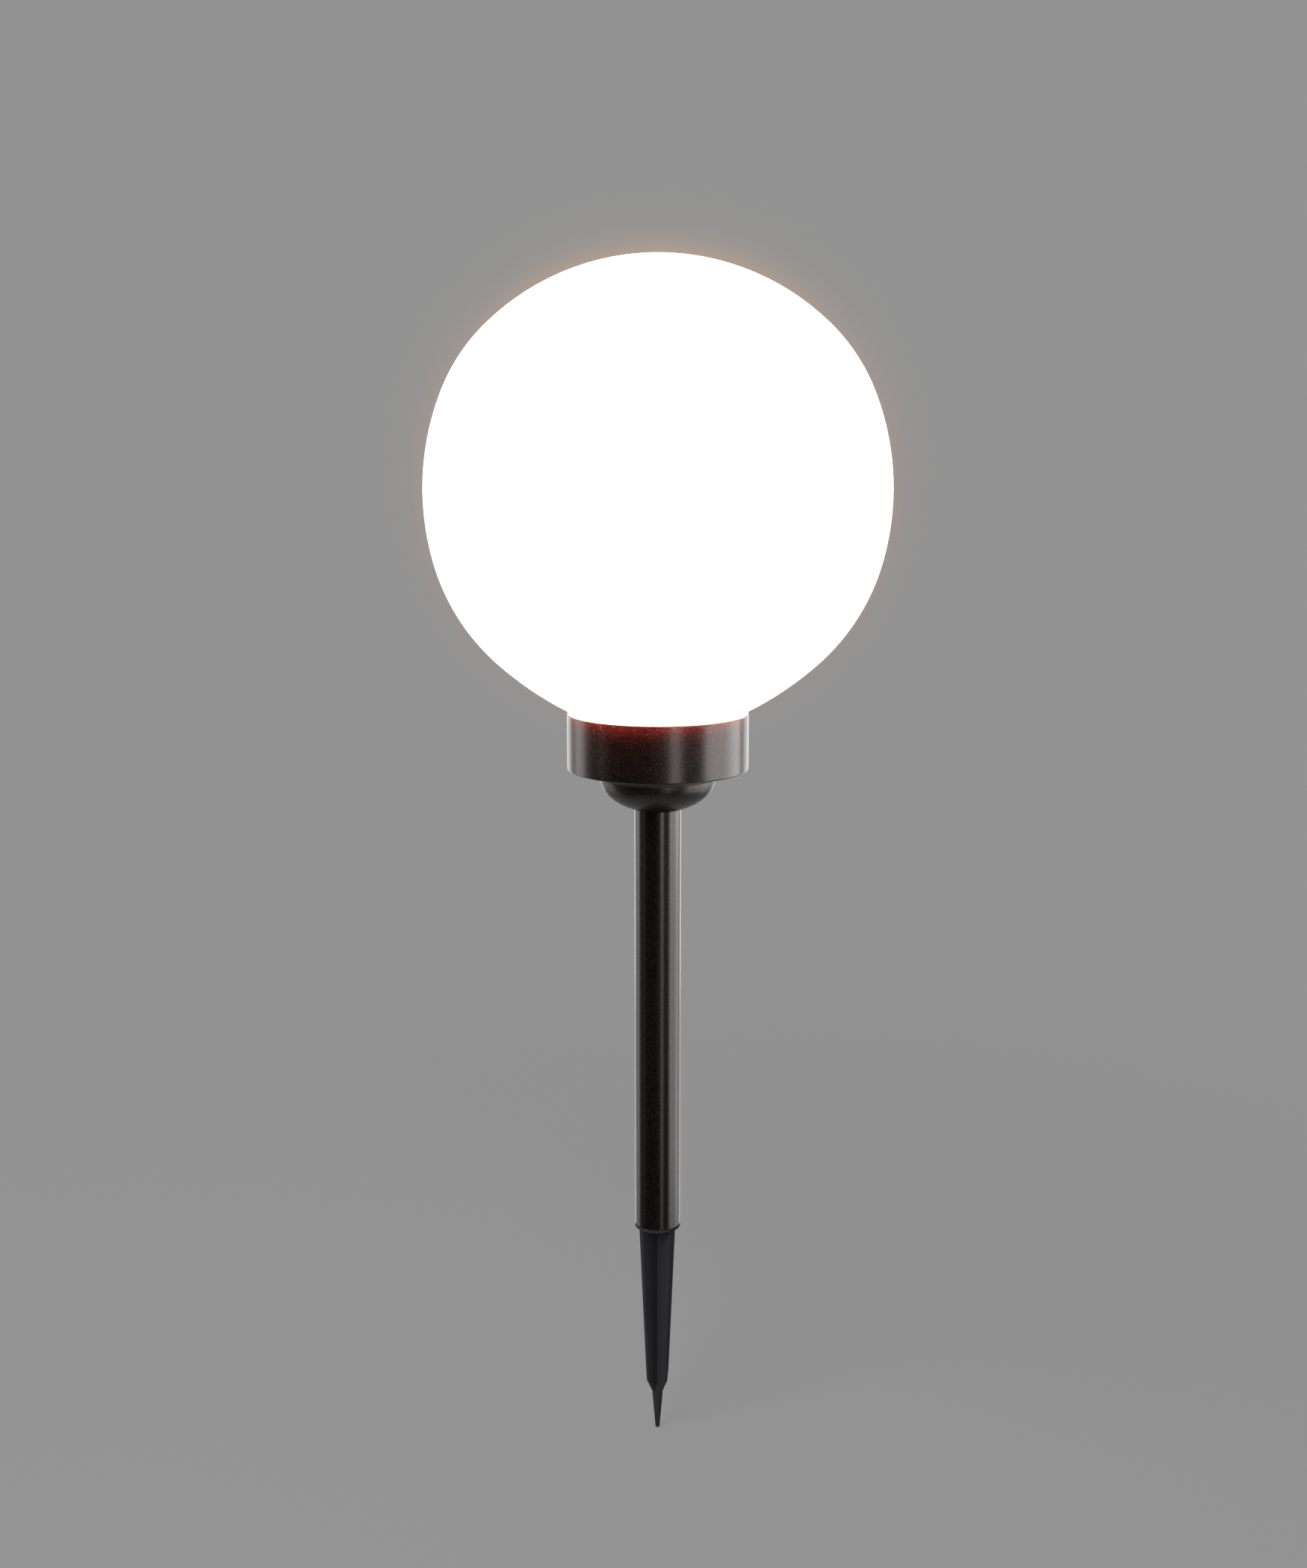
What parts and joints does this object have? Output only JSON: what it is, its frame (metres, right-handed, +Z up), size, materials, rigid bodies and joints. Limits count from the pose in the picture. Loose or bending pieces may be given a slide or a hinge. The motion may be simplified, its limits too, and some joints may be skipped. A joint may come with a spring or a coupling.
{
  "type": "garden globe light",
  "caption": "Solar garden light: an opal globe in a short metal collar on a slim pole with a cross-bladed ground stake. Globe, head and pole pull off, and a slide switch works.",
  "frame": {"origin": "on the pole's axis at the ground line, the underside of the stake's ring", "axes": "+Z up along the pole towards the globe, -Y the side seen in the picture"},
  "size_m": [0.2, 0.2, 0.5358],
  "materials": {
    "opal_plastic": "opal, blow moulded, satin",
    "bronze_coat": "dark bronze metallic powder coat, satin",
    "stake_plastic": "black, moulded, fine matt texture",
    "black_plastic": "black, moulded, satin",
    "gasket_rubber": "soft, dull",
    "screw_steel": "zinc plated",
    "cell_sleeve": "shrunk film, satin",
    "contact_metal": "nickel plated",
    "board_laminate": "green solder mask",
    "chip_resin": "moulded resin",
    "coil_ferrite": "ferrite in shrink film",
    "capacitor_can": "drawn can",
    "switch_shell": "tinned",
    "silicon": "blue-black, antireflection coated",
    "clear_window": "clear, flat, glossy",
    "white_board": "white solder mask",
    "light_phosphor": "yellow phosphor under resin",
    "frosted_plastic": "frosted, translucent",
    "lead_red": "soft insulation",
    "lead_black": "soft insulation"
  },
  "bodies": {
    "stake": {"ground_stake": "stake_plastic"},
    "pole": {"pole_tube": "bronze_coat"},
    "head": {"pole_adaptor": "black_plastic", "bowl_cap": "bronze_coat", "collar_shell": "bronze_coat", "base_plate": "black_plastic", "lamp_housing": "black_plastic", "housing_gasket": "gasket_rubber", "neck_gasket": "gasket_rubber", "bowl_screws": "screw_steel", "housing_screws": "screw_steel", "board_screws": "screw_steel", "rechargeable_cell": "cell_sleeve", "contact_plate": "contact_metal", "contact_leaf": "contact_metal", "control_board": "board_laminate", "driver_chip": "chip_resin", "charging_coil": "coil_ferrite", "capacitor": "capacitor_can", "switch_body": "switch_shell", "solar_cells": "silicon", "panel_window": "clear_window", "light_board": "white_board", "light_chips": "light_phosphor", "light_dome": "frosted_plastic", "red_leads": "lead_red", "black_leads": "lead_black"},
    "globe": {"globe": "opal_plastic"},
    "switch": {"switch_slider": "black_plastic"}
  },
  "joints": [
    {"name": "pole_pull", "type": "slide", "parent": "stake", "child": "pole", "axis": [0, 0, 1], "range_m": [0, 0.03]},
    {"name": "head_pull", "type": "slide", "parent": "pole", "child": "head", "axis": [0, 0, 1], "range_m": [0, 0.03]},
    {"name": "globe_pull", "type": "slide", "parent": "head", "child": "globe", "axis": [0, 0, 1], "range_m": [0, 0.03]},
    {"name": "switch_slide", "type": "slide", "parent": "head", "child": "switch", "axis": [1, 0, 0], "range_m": [0, 0.003]}
  ]
}
